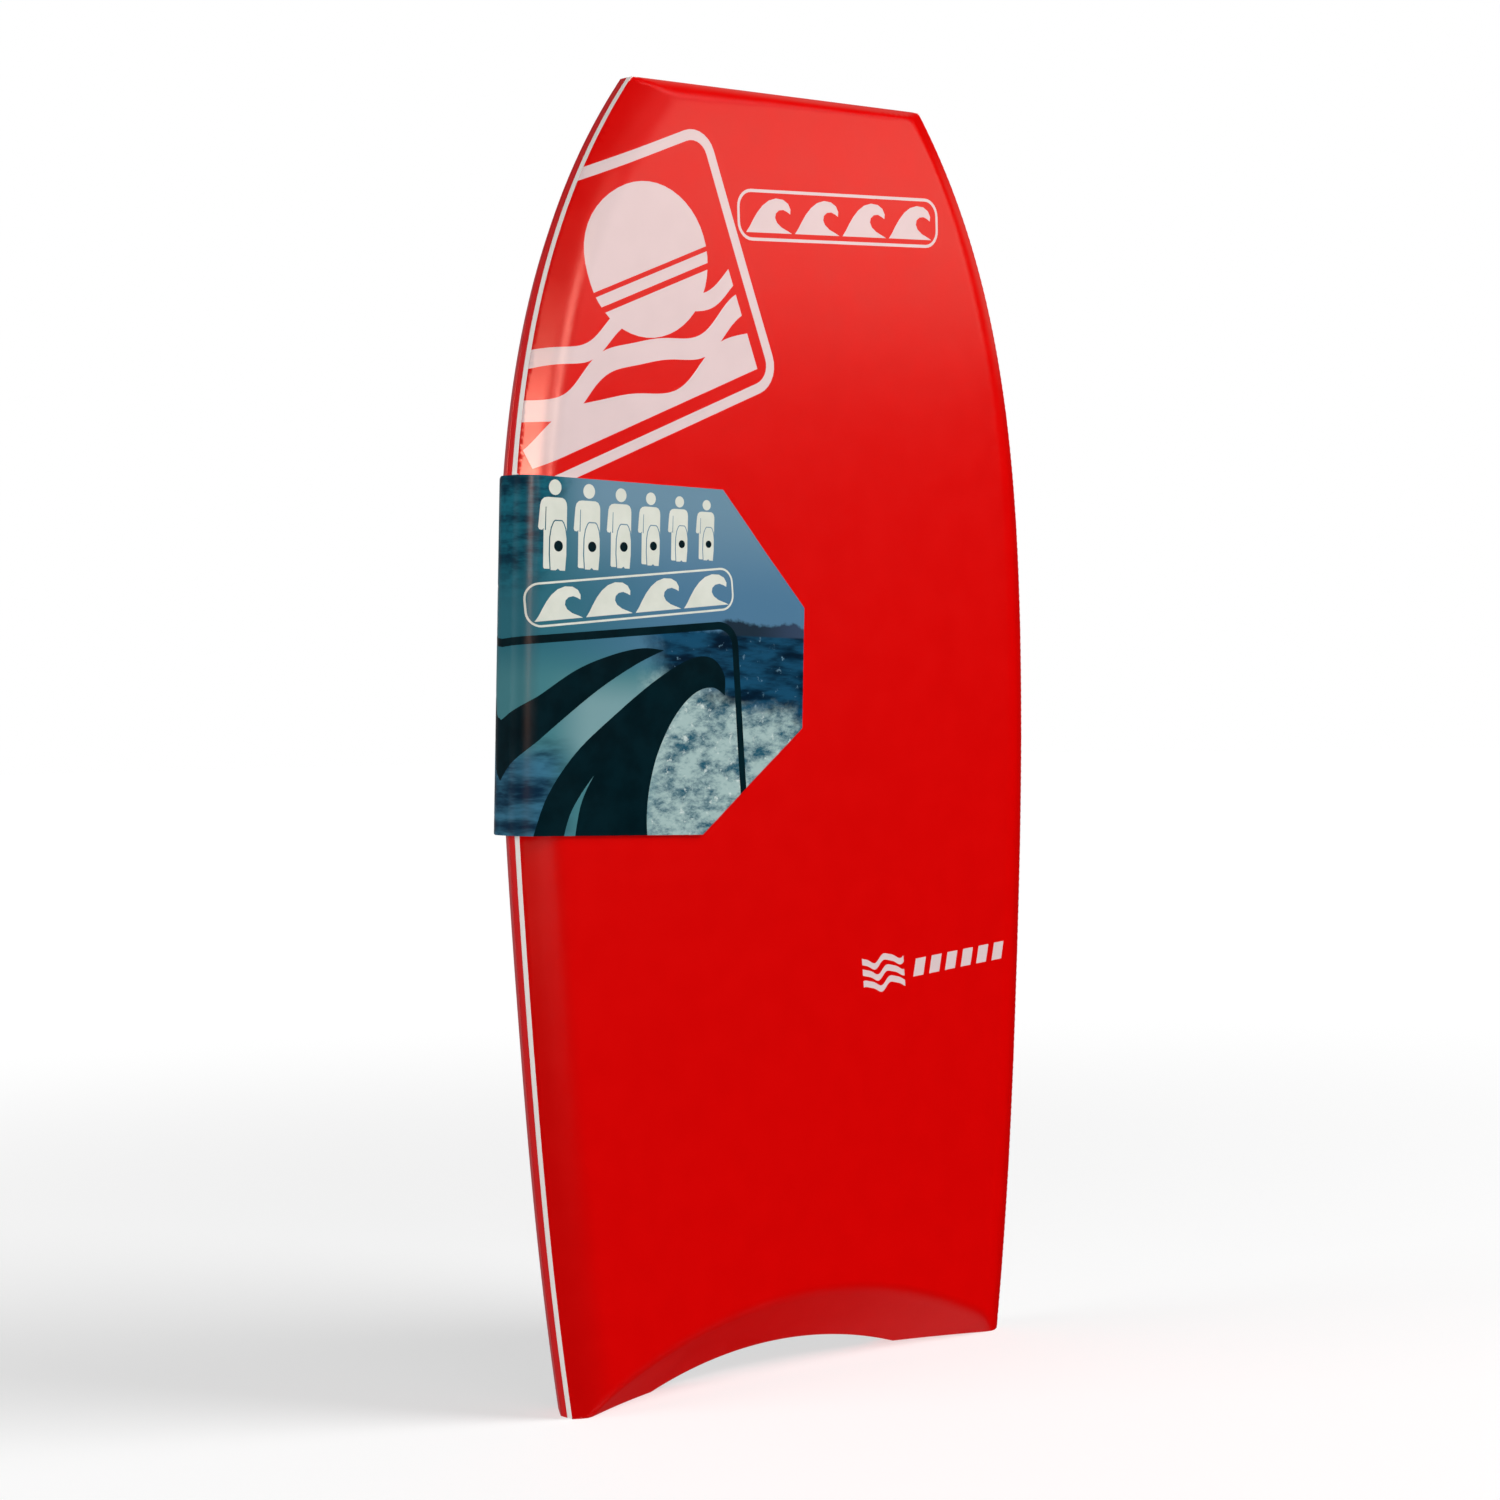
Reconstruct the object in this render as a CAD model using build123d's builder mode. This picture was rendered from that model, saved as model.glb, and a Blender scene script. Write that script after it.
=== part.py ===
from build123d import *
import math
import os

# A bodyboard that stands on its crescent tail. The nose points up (+Z), the deck faces -Y and the
# slick bottom faces +Y. The origin is on the floor, under the middle of the board.
# A depth is measured back from the deck, and an inset inwards from the widest line of the rail.

# Plan shape
length = 1067
nose_half_width = 157
wide_point = 0.57 * length
wide_half_width = 280
tail_half_width = 237
peg_inner_edge = 136
crescent_height = 21.5
crescent_radius = (peg_inner_edge**2 + crescent_height**2) / (2 * crescent_height)
rail_line = [
    (tail_half_width, 0),
    (251, 0.1 * length),
    (269, 0.3 * length),
    (wide_half_width, wide_point),
    (256, 0.8 * length),
    (nose_half_width, length),
]
rail_steps = 7

# Side shape: flat over the tail and the middle, then bent towards the deck at the nose
thickness = 55
rocker_start = 0.55 * length
nose_lift = 8
rocker_radius = (length - rocker_start) ** 2 / (2 * nose_lift)

# Corners of the section
chine_depth = 14
chine_width = 21
bilge_top = 29
bilge_inset = 16.5
nose_bevel = 15

# Layers
skin = 4
skin_edge = 15
slick = 2
pinline_edge = 21
upper_rail_edge = 28
rail_strip = skin * math.hypot(chine_depth, chine_width) / chine_depth
nose_reach = nose_half_width - 9.4
nose_strip_height = 10.8
tail_reach = tail_half_width - 7.6
tail_strip_height = 60

# The tail bevel is a cone about an axis through the deck, below the tail
bevel_radius = 461
bevel_top = 67.5
bevel_centre = bevel_top - bevel_radius
bevel_slope = 0.92
bevel_skin = skin * math.hypot(1, bevel_slope)

# Two channels pressed into the slick, running out at the tail
channel_depth = 4
channel_width = 52
channel_offset = 92
channel_length = 290
channel_ramp = 60

# Card sleeve folded round the left rail
card = 0.8
sleeve_height = 281
sleeve_reach = 287
upper_cut = (89, 93)
lower_cut = (104, 88)
sleeve_tilt = 2.6
sleeve_middle = 607.5
fold_line = 282.2
flap_front = thickness / 2 + 1.35
flap_back = thickness / 2 + 0.4
spine_end = 2
slick_fold = 17.2
front_radius = 17
spine_radius = 14
back_radius = 3

past_end = 5
half_span = 400


def depth_to_y(depth):
    return depth - thickness / 2


def rocker_arc(y):
    """Middle and end of the bent part of a layer that is flat at y below the rocker."""
    radius = rocker_radius + y
    sweep_angle = math.asin((length + past_end - rocker_start) / radius)
    points = []
    for angle in (sweep_angle / 2, sweep_angle):
        y_on_arc = radius * math.cos(angle) - rocker_radius
        points.append((y_on_arc, rocker_start + radius * math.sin(angle)))
    return points


def layer(top, bottom, mode=Mode.ADD):
    """The part of the board between two depths, following the rocker and wider than the board."""
    y_top, y_bottom = depth_to_y(top), depth_to_y(bottom)
    top_middle, top_end = rocker_arc(y_top)
    bottom_middle, bottom_end = rocker_arc(y_bottom)
    with BuildSketch(Plane.YZ.offset(-half_span)) as side_view:
        with BuildLine():
            Line((y_top, -past_end), (y_top, rocker_start))
            ThreePointArc((y_top, rocker_start), top_middle, top_end)
            Line(top_end, bottom_end)
            ThreePointArc(bottom_end, bottom_middle, (y_bottom, rocker_start))
            Line((y_bottom, rocker_start), (y_bottom, -past_end))
            Line((y_bottom, -past_end), (y_top, -past_end))
        make_face()
    extrude(side_view.sketch, amount=2 * half_span, mode=mode)


def plan_shape(inset):
    """Keeps what is inside the plan outline, moved inwards by the inset."""
    rail = Spline(*rail_line)
    points = []
    for step in range(rail_steps + 1):
        along = rail % (step / rail_steps)
        point = rail @ (step / rail_steps)
        points.append((point.X - inset * along.Y, point.Y + inset * along.X))
    with BuildSketch(Plane.XZ.offset(thickness * 2)) as outline:
        with BuildLine():
            right_side = Spline(*points)
            left_side = Spline(*[(-x, z) for x, z in points])
            Line(right_side @ 0, left_side @ 0)
            Line(right_side @ 1, left_side @ 1)
        make_face()
        if inset:
            with Locations((0, length / 2)):
                Rectangle(2 * half_span, length - 2 * inset, mode=Mode.INTERSECT)
        with Locations((0, crescent_height - crescent_radius)):
            Circle(crescent_radius + inset, mode=Mode.SUBTRACT)
    extrude(outline.sketch, amount=-thickness * 4, mode=Mode.INTERSECT)


def tail_bevel(raised, mode):
    """The cone that the tail bevel follows, grown so that it reaches deeper by the raised amount."""
    clear = 30
    rim = bevel_radius + raised / bevel_slope
    with BuildSketch(Plane.XY.offset(bevel_centre)) as half_cone:
        with BuildLine():
            Polyline(
                (0, depth_to_y(-clear)),
                (rim + clear / bevel_slope, depth_to_y(-clear)),
                (rim - (thickness + clear) / bevel_slope, depth_to_y(thickness + clear)),
                (0, depth_to_y(thickness + clear)),
                close=True,
            )
        make_face()
    revolve(half_cone.sketch, axis=Axis((0, 0, bevel_centre), (0, 1, 0)), mode=mode)


def channels(margin, mode):
    """The two channels in the slick, grown on every side by the margin."""
    floor_y = depth_to_y(thickness - channel_depth - margin)
    open_y = depth_to_y(thickness + past_end)
    width = channel_width + 2 * margin
    for side in (-1, 1):
        with BuildSketch(Plane.YZ.offset(side * channel_offset - width / 2)) as groove:
            with BuildLine():
                Polyline(
                    (floor_y, -past_end),
                    (floor_y, channel_length - channel_ramp + margin),
                    (depth_to_y(thickness), channel_length + margin),
                    (open_y, channel_length + margin),
                    (open_y, -past_end),
                    close=True,
                )
            make_face()
        extrude(groove.sketch, amount=width, mode=mode)


def long_edges(face, near_deck):
    """The edges along a side face, on the deck's side or on the slick's side."""
    edges = []
    for edge in face.edges():
        size = edge.bounding_box().size
        if size.Z > 2 * size.Y and (edge.center().Y < face.center().Y) == near_deck:
            edges.append(edge)
    return edges


def board_block(inset, top, bottom):
    """A board between two depths, with its chines, its bilges and its nose bevel."""
    chine = chine_depth - top
    bilge = bottom - bilge_top
    bilge_slope = bilge_inset / (thickness - bilge_top)
    with BuildPart() as block:
        layer(top, bottom)
        plan_shape(inset)
        for near_deck, depth, slope in (
            (True, chine, chine_width / chine_depth),
            (False, bilge, bilge_slope),
        ):
            for side in (0, -1):
                face = block.faces().sort_by(Axis.X)[side]
                edges = long_edges(face, near_deck)
                chamfer(edges, length=depth, length2=depth * slope, reference=face)
        nose_face = block.faces().sort_by(Axis.Z)[-1]
        nose_edge = nose_face.edges().sort_by(Axis.Y)[0]
        chamfer(nose_edge, length=chine, length2=chine * nose_bevel / chine_depth, reference=nose_face)
    return block.part


def save(piece, name):
    """Labels a finished piece and writes its file."""
    piece.part.label = name
    export_step(piece.part, f"parts/{name}.step")


os.makedirs("parts", exist_ok=True)

# The foam core, inside all the skins and strips
with BuildPart() as core:
    add(board_block(rail_strip, skin, thickness - slick))
    tail_bevel(bevel_skin, Mode.SUBTRACT)
    channels(slick, Mode.SUBTRACT)
save(core, "foam_core")

# Everything round the core, which the skins and strips share out between them
with BuildPart() as shell:
    add(board_block(0, 0, thickness))
    tail_bevel(0, Mode.SUBTRACT)
    channels(0, Mode.SUBTRACT)
    add(core.part, mode=Mode.SUBTRACT)

# The deck skin wraps over the chines, the nose bevel and the tail bevel
with BuildPart() as deck_skin:
    layer(-past_end, skin_edge)
    tail_bevel(bevel_skin, Mode.ADD)
    add(shell.part, mode=Mode.INTERSECT)
save(deck_skin, "deck_skin")

# The slick is pressed into the channels
with BuildPart() as bottom_slick:
    layer(thickness - slick, thickness + past_end)
    channels(slick, Mode.ADD)
    tail_bevel(bevel_skin, Mode.SUBTRACT)
    add(shell.part, mode=Mode.INTERSECT)
save(bottom_slick, "bottom_slick")


def strip(name, x_from, x_to, z_from, z_to, top=skin_edge, bottom=thickness - slick):
    """The part of the shell in one box, between two depths."""
    with BuildPart() as piece:
        layer(top, bottom)
        tail_bevel(bevel_skin, Mode.SUBTRACT)
        channels(slick, Mode.SUBTRACT)
        with BuildSketch(Plane.XZ.offset(2 * thickness)) as window:
            with Locations(((x_from + x_to) / 2, (z_from + z_to) / 2)):
                Rectangle(x_to - x_from, z_to - z_from)
        extrude(window.sketch, amount=-4 * thickness, mode=Mode.INTERSECT)
        add(shell.part, mode=Mode.INTERSECT)
        for end_strip in end_strips:
            add(end_strip, mode=Mode.SUBTRACT)
    save(piece, name)
    return piece.part


# Strips across the nose and round the crescent, between the ends of the rails
end_strips = []
nose = strip("nose_strip", -nose_reach, nose_reach, length - nose_strip_height, length + past_end)
tail = strip("tail_strip", -tail_reach, tail_reach, -past_end, tail_strip_height)
end_strips = [nose, tail]

# Each rail is a pinline, an upper strip and a lower strip
for side, x_from, x_to in (("left", -half_span, 0), ("right", 0, half_span)):
    for name, top, bottom in (
        ("pinline", skin_edge, pinline_edge),
        ("upper_rail", pinline_edge, upper_rail_edge),
        ("lower_rail", upper_rail_edge, thickness - slick),
    ):
        strip(f"{name}_{side}", x_from, x_to, -past_end, length + past_end, top, bottom)

# The card sleeve: two flaps with cut corners, joined by a spine round the rail
sleeve_plane = Plane((-fold_line, 0, sleeve_middle), x_dir=(1, 0, 0), z_dir=(0, 0, 1)).rotated(
    (0, sleeve_tilt, 0)
)


def card_line(grow):
    """The sleeve's section, from the front flap's edge round the rail to the back flap's edge."""
    corners = [
        (sleeve_reach, -flap_front - grow),
        (-grow, -flap_front - grow),
        (-grow, spine_end),
        (slick_fold - grow, flap_back + grow),
        (sleeve_reach, flap_back + grow),
    ]
    radii = [front_radius + grow, spine_radius + grow, back_radius + grow]
    return FilletPolyline(*corners, radius=radii)


with BuildPart() as sleeve:
    with BuildSketch(sleeve_plane.offset(-sleeve_height / 2)):
        with BuildLine():
            inner_line = card_line(0)
            outer_line = card_line(card)
            Line(inner_line @ 0, outer_line @ 0)
            Line(inner_line @ 1, outer_line @ 1)
        make_face()
    extrude(amount=sleeve_height)
    flap_plane = Plane(sleeve_plane.origin, x_dir=sleeve_plane.x_dir, z_dir=-sleeve_plane.y_dir)
    with BuildSketch(flap_plane.offset(2 * thickness)):
        with BuildLine():
            Polyline(
                (-past_end, sleeve_height / 2),
                (sleeve_reach - upper_cut[0], sleeve_height / 2),
                (sleeve_reach, sleeve_height / 2 - upper_cut[1]),
                (sleeve_reach, -sleeve_height / 2 + lower_cut[1]),
                (sleeve_reach - lower_cut[0], -sleeve_height / 2),
                (-past_end, -sleeve_height / 2),
                close=True,
            )
        make_face()
    extrude(amount=-4 * thickness, mode=Mode.INTERSECT)
save(sleeve, "display_sleeve")
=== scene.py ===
import math

import bpy
import numpy as np
from mathutils import Euler, Matrix, Vector
from mathutils.geometry import delaunay_2d_cdt


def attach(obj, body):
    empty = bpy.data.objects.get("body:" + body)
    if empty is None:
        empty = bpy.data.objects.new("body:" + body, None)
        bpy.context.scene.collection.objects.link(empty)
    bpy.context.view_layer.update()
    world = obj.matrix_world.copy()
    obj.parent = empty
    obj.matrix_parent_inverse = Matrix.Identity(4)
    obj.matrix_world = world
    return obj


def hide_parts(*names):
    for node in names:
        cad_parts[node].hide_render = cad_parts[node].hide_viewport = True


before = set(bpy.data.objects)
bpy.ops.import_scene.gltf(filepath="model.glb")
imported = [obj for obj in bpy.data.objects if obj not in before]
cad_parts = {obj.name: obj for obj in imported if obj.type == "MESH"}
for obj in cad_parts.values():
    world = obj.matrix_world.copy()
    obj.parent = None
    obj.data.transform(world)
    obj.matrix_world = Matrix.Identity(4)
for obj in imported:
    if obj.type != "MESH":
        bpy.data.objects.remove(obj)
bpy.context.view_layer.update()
scene = bpy.context.scene

# Lengths in this file are in millimetres until a mesh is made, and a depth is measured back from
# the deck. The plan is (x, z): the nose is up, the deck faces -y and the slick faces +y.
MM = 0.001
LENGTH = 1067.0
HALF_THICKNESS = 27.5
RAIL_POINTS = np.array(
    [(237, 0), (251, 106.7), (269, 320.1), (280, 608.19), (256, 853.6), (157, LENGTH)]
)
TAIL_DIRECTION = np.array([0.148, 0.989])
NOSE_DIRECTION = np.array([-0.65, 0.838])
PEG_INNER_EDGE = 136.0
CRESCENT_HEIGHT = 21.5
CRESCENT_RADIUS = (PEG_INNER_EDGE**2 + CRESCENT_HEIGHT**2) / (2 * CRESCENT_HEIGHT)
ROCKER_START = 0.55 * LENGTH
ROCKER_RADIUS = (LENGTH - ROCKER_START) ** 2 / 16
CHINE_DEPTH = 14.0
CHINE_WIDTH = 21.0
NOSE_BEVEL = 8.5
# The flattest part of the lifted nose stays just inside the solids' foremost plane
FOREMOST = -34.98
BEVEL_RADIUS = 461.0
BEVEL_CENTRE = 67.5 - BEVEL_RADIUS
BEVEL_SLOPE = 0.92
BEVEL_SKIN = 5.43
BILGE_TOP = 29.0
BILGE_SLOPE = 16.5 / 26.0
SLICK_INSET = 16.0
CHANNEL_MIDDLE = 92.0
CHANNEL_DEPTH = 4.0

# Depths at which the layers of a rail meet
SKIN_EDGE = 14.5
PINLINE_EDGE = 21.0
UPPER_RAIL_EDGE = 28.0
SLICK_EDGE = 53.0
SLICK_FACE = 55.0
DECK_FOAM = 4.5


# --- shape of the board
def hermite(u, start, leaving, end, arriving):
    """The cubic from start to end with those slopes, at u from 0 to 1."""
    return (
        (2 * u**3 - 3 * u**2 + 1) * start
        + (u**3 - 2 * u**2 + u) * leaving
        + (3 * u**2 - 2 * u**3) * end
        + (u**3 - u**2) * arriving
    )


def rail_samples():
    """The plan outline of the right rail as a clamped cubic spline, sampled from tail to nose."""
    steps = np.hypot(*np.diff(RAIL_POINTS, axis=0).T)
    count = len(RAIL_POINTS)
    system = np.zeros((count, count))
    target = np.zeros((count, 2))
    system[0, 0] = system[-1, -1] = 1
    target[0], target[-1] = TAIL_DIRECTION, NOSE_DIRECTION
    for i in range(1, count - 1):
        before, after = steps[i - 1], steps[i]
        system[i, i - 1 : i + 2] = after, 2 * (before + after), before
        rise_before = (RAIL_POINTS[i] - RAIL_POINTS[i - 1]) / before
        rise_after = (RAIL_POINTS[i + 1] - RAIL_POINTS[i]) / after
        target[i] = 3 * (after * rise_before + before * rise_after)
    slopes = np.linalg.solve(system, target)
    u = np.linspace(0, 1, 100)[:, None]
    pieces = []
    for i, step in enumerate(steps):
        leaving, arriving = step * slopes[i], step * slopes[i + 1]
        pieces.append(hermite(u, RAIL_POINTS[i], leaving, RAIL_POINTS[i + 1], arriving))
    return np.concatenate(pieces)


rail = rail_samples()
rail_z = np.linspace(0, LENGTH, 1068)
rail_x = np.interp(rail_z, rail[:, 1], rail[:, 0])
rail_slant = np.hypot(1, np.gradient(rail_x, rail_z))


def half_width(z):
    return np.interp(z, rail_z, rail_x)


def slant(z):
    """How much wider a gap is along x than across the rail."""
    return np.interp(z, rail_z, rail_slant)


def tail_line(x):
    """z of the tail's edge: the crescent, and 0 at the pegs."""
    x_squared = np.minimum(x**2, 200.0**2)
    arc = CRESCENT_HEIGHT - CRESCENT_RADIUS + np.sqrt(CRESCENT_RADIUS**2 - x_squared)
    return np.maximum(arc, 0)


def inset_of(x, z):
    """How far inside the rail's outline a plan point is."""
    return (half_width(z) - np.abs(x)) / slant(z)


def border_distance(x, z, inset=0.0):
    """How far a plan point is from the nearest edge of a sheet that starts inset from the rails."""
    return np.minimum(np.minimum(inset_of(x, z) - inset, LENGTH - z), z - tail_line(x))


def smooth_max(a, b, k):
    """The larger of two values, with the corner between them rounded where they are within k."""
    h = np.maximum(k - np.abs(a - b), 0)
    return np.maximum(a, b) + h * h / (4 * k)


def smooth_step(a, b, v):
    """0 at a and 1 at b, with soft ends. a may be the larger."""
    t = np.clip((v - a) / (b - a), 0, 1)
    return t * t * (3 - 2 * t)


def with_rocker(depth, z):
    """y of a point at that depth."""
    y = depth - HALF_THICKNESS
    radius = ROCKER_RADIUS + y
    past = np.maximum(z - ROCKER_START, 0)
    return np.sqrt(radius**2 - past**2) - ROCKER_RADIUS


def bevel_depth(x, z):
    """Depth of the tail bevel, a cone round the tail."""
    return (BEVEL_RADIUS - np.hypot(x, z - BEVEL_CENTRE)) * BEVEL_SLOPE


def dents(x, z):
    """Shallow unevenness of pressed foam, about a tenth of a millimetre."""
    return 0.05 * (
        np.sin(x / 37 + 1.3) * np.sin(z / 53 + 0.4)
        + 0.6 * np.sin(x / 19 - z / 41 + 2.1)
        + 0.5 * np.sin(x / 61 + z / 29)
    )


def deck_depth(x, z):
    """Depth of the deck's surface, with soft ridges to the chines and the bevels."""
    inset = inset_of(x, z)
    chine = CHINE_DEPTH * (1 - inset / CHINE_WIDTH)
    nose = CHINE_DEPTH * (1 - (LENGTH - z) / NOSE_BEVEL)
    # The left ridge is softer towards the nose, the right one crisper
    near_nose = 8.0 * smooth_step(60, -150, x) - 4.5 * smooth_step(60, 150, x)
    softness = 7.5 + 2.0 * smooth_step(700, 300, z) + near_nose * smooth_step(880, 1040, z)
    flat_or_edge = smooth_max(smooth_max(chine, nose, 4.0), 0, softness)
    depth = smooth_max(flat_or_edge, bevel_depth(x, z), 6.0)
    border = border_distance(x, z)
    # The edge rolls over within its last 0.7 mm
    depth = depth + 0.6 * np.clip(1 - border / 0.7, 0, 1) ** 2
    return depth + dents(x, z) * smooth_step(0, 30, border)


def deck_y(x, z):
    return smooth_max(with_rocker(deck_depth(x, z), z), FOREMOST, 0.3)


def channel(x, z):
    """How deep a point of the slick is: 0 on the flat, 1 in a channel."""
    across = smooth_step(30.5, 22.5, np.abs(np.abs(x) - CHANNEL_MIDDLE))
    return across * smooth_step(290, 228, z)


def slick_depth(x, z):
    rim = 0.9 * np.clip(1 - border_distance(x, z, SLICK_INSET) / 1.6, 0, 1) ** 2
    return SLICK_FACE - CHANNEL_DEPTH * channel(x, z) - rim + 0.5 * np.minimum(dents(z, x), 0)


def slick_y(x, z):
    return with_rocker(slick_depth(x, z), z)


# --- meshes
def linked(name, data):
    made = bpy.data.objects.new(name, data)
    scene.collection.objects.link(made)
    return made


def new_object(name, vertices, faces, body):
    mesh = bpy.data.meshes.new(name)
    mesh.from_pydata([tuple(v) for v in np.asarray(vertices, float) * MM], [], faces)
    mesh.update()
    piece = linked(name, mesh)
    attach(piece, body)
    return piece


def divided(shape, count_for):
    """The polygon with each edge in as many parts as count_for gives for its length."""
    points = []
    for (ax, ay), (bx, by) in zip(shape, shape[1:] + shape[:1]):
        count = count_for(math.dist((ax, ay), (bx, by)))
        for k in range(count):
            points.append((ax + (bx - ax) * k / count, ay + (by - ay) * k / count))
    return points


def print_parts(length):
    """Parts of a printed edge, short enough that it bends with its surface."""
    return max(1, math.ceil(length / 4.0))


def triangulate(outline, points, shapes):
    """Triangles inside a plan outline, with every shape's edges in them.

    Gives the plan points, the triangles and, for each triangle, the shapes that cover it."""
    coords = [tuple(p) for p in outline + points]
    faces = [list(range(len(outline)))]
    for shape in shapes:
        start = len(coords)
        turned = np.array(divided(shape, print_parts))
        following = np.roll(turned, -1, axis=0)
        if (turned[:, 0] * following[:, 1] - following[:, 0] * turned[:, 1]).sum() < 0:
            turned = turned[::-1]
        coords += [tuple(p) for p in turned]
        faces.append(list(range(start, len(coords))))
    plan, _, triangles, _, _, sources = delaunay_2d_cdt(coords, [], faces, 1, 1e-3, True)
    kept, cover = [], []
    for triangle, source in zip(triangles, sources):
        if 0 in source:
            kept.append(list(triangle))
            cover.append({s - 1 for s in source if s > 0})
    used, renumbered = np.unique(np.array(kept), return_inverse=True)
    plan = np.array([tuple(p) for p in plan], float)[used]
    return plan, renumbered.reshape(-1, 3).tolist(), cover


def closed_faces(triangles, count):
    """The triangles, the same turned over and count points further on, and the rim between."""
    edges = set()
    for a, b, c in triangles:
        edges.update(((a, b), (b, c), (c, a)))
    faces = list(triangles)
    faces += [(c + count, b + count, a + count) for a, b, c in triangles]
    return faces + [(b, a, a + count, b + count) for a, b in edges if (b, a) not in edges]


def skin_object(name, plan, triangles, surface, under, front):
    """A closed skin over a plan: the surface, a rim round its border and its hidden underside.

    front is -1 for a skin seen from -y and 1 for one seen from +y."""
    x, z = plan[:, 0], plan[:, 1]
    count = len(plan)
    top = np.column_stack([x, surface(x, z), z])
    bottom = np.column_stack([x, under(x, z), z])
    turned = []
    for a, b, c in triangles:
        turn = (x[b] - x[a]) * (z[c] - z[a]) - (z[b] - z[a]) * (x[c] - x[a])
        turned.append((a, b, c) if turn * front < 0 else (a, c, b))
    faces = closed_faces(turned, count)
    piece = new_object(name, np.concatenate([top, bottom]), faces, "board")
    step = 0.05
    slope_x = (surface(x + step, z) - surface(x - step, z)) / (2 * step)
    slope_z = (surface(x, z + step) - surface(x, z - step)) / (2 * step)
    normals = np.column_stack([-slope_x, np.ones(count), -slope_z]) * front
    normals /= np.linalg.norm(normals, axis=1)[:, None]
    smooth = [i < len(triangles) for i in range(len(faces))]
    piece.data.polygons.foreach_set("use_smooth", smooth)
    loops = []
    for is_smooth, face in zip(smooth, faces):
        loops += [tuple(normals[v]) if is_smooth else (0, 0, 0) for v in face]
    piece.data.normals_split_custom_set(loops)
    return piece


def sweep(name, stations, profiles, material):
    """A closed strip from stations (x, z, inward x, inward z), each with a profile of (inset,
    depth) points."""
    vertices, faces = [], []
    per = len(profiles[0])
    for (x, z, in_x, in_z), profile in zip(stations, profiles):
        for inset, depth in profile:
            pz = z + inset * in_z
            vertices.append((x + inset * in_x, float(with_rocker(depth, pz)), pz))
    for i in range(len(stations) - 1):
        for j in range(per):
            k = (j + 1) % per
            faces.append((i * per + j, i * per + k, (i + 1) * per + k, (i + 1) * per + j))
    last = (len(stations) - 1) * per
    faces.append(tuple(range(per - 1, -1, -1)))
    faces.append(tuple(last + j for j in range(per)))
    piece = new_object(name, vertices, faces, "board")
    mesh = piece.data
    volume = sum(face.center.dot(face.normal) * face.area for face in mesh.polygons)
    if volume < 0:
        mesh.flip_normals()
    mesh.shade_smooth()
    mesh.set_sharp_from_angle(angle=math.radians(40))
    mesh.materials.append(material)
    return piece


# --- materials
class Tree:
    """Short calls for building a node tree."""

    def __init__(self, tree):
        self.tree = tree
        tree.nodes.clear()

    def add(self, kind, **settings):
        node = self.tree.nodes.new(kind)
        for key, value in settings.items():
            setattr(node, key, value)
        return node

    def link(self, source, target):
        self.tree.links.new(source, target)

    def put(self, target, value):
        if isinstance(value, bpy.types.NodeSocket):
            self.link(value, target)
        else:
            target.default_value = value

    def fill(self, node, **inputs):
        for key, value in inputs.items():
            self.put(node.inputs[key.replace("_", " ")], value)
        return node

    def math(self, operation, a, b=0.0):
        node = self.add("ShaderNodeMath", operation=operation)
        self.put(node.inputs[0], a)
        self.put(node.inputs[1], b)
        return node.outputs[0]

    def product(self, first, *others):
        for other in others:
            first = self.math("MULTIPLY", first, other)
        return first

    def ramp(self, value, low, high, to_low=0.0, to_high=1.0):
        """to_low at low and to_high at high, with soft ends. low may be the larger."""
        node = self.add("ShaderNodeMapRange", clamp=True, interpolation_type="SMOOTHSTEP")
        self.fill(node, Value=value, From_Min=low, From_Max=high, To_Min=to_low, To_Max=to_high)
        return node.outputs["Result"]


class Nodes(Tree):
    """A new material with its shader."""

    def __init__(self, name):
        self.material = bpy.data.materials.new(name)
        self.material.use_nodes = True
        super().__init__(self.material.node_tree)
        self.shader = self.add("ShaderNodeBsdfPrincipled")
        output = self.add("ShaderNodeOutputMaterial")
        self.link(self.shader.outputs[0], output.inputs[0])
        self.place = self.add("ShaderNodeTexCoord").outputs["Object"]

    def set(self, **values):
        self.fill(self.shader, **values)

    def scaled(self, x, y, z, source=None):
        node = self.add("ShaderNodeVectorMath", operation="MULTIPLY")
        self.link(source or self.place, node.inputs[0])
        node.inputs[1].default_value = (x, y, z)
        return node.outputs[0]

    def noise(self, scale, detail, rough, vector=None):
        node = self.add("ShaderNodeTexNoise")
        self.fill(node, Vector=vector or self.place, Scale=scale, Detail=detail, Roughness=rough)
        return node.outputs["Fac"]

    def mix(self, factor, a, b):
        node = self.add("ShaderNodeMix", data_type="RGBA")
        return self.fill(node, Factor=factor, A=a, B=b).outputs["Result"]

    def bump(self, height, strength, distance, normal=None):
        node = self.add("ShaderNodeBump")
        self.fill(node, Strength=strength, Distance=distance, Height=height)
        if normal is not None:
            self.link(normal, node.inputs["Normal"])
        return node.outputs["Normal"]


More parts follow.
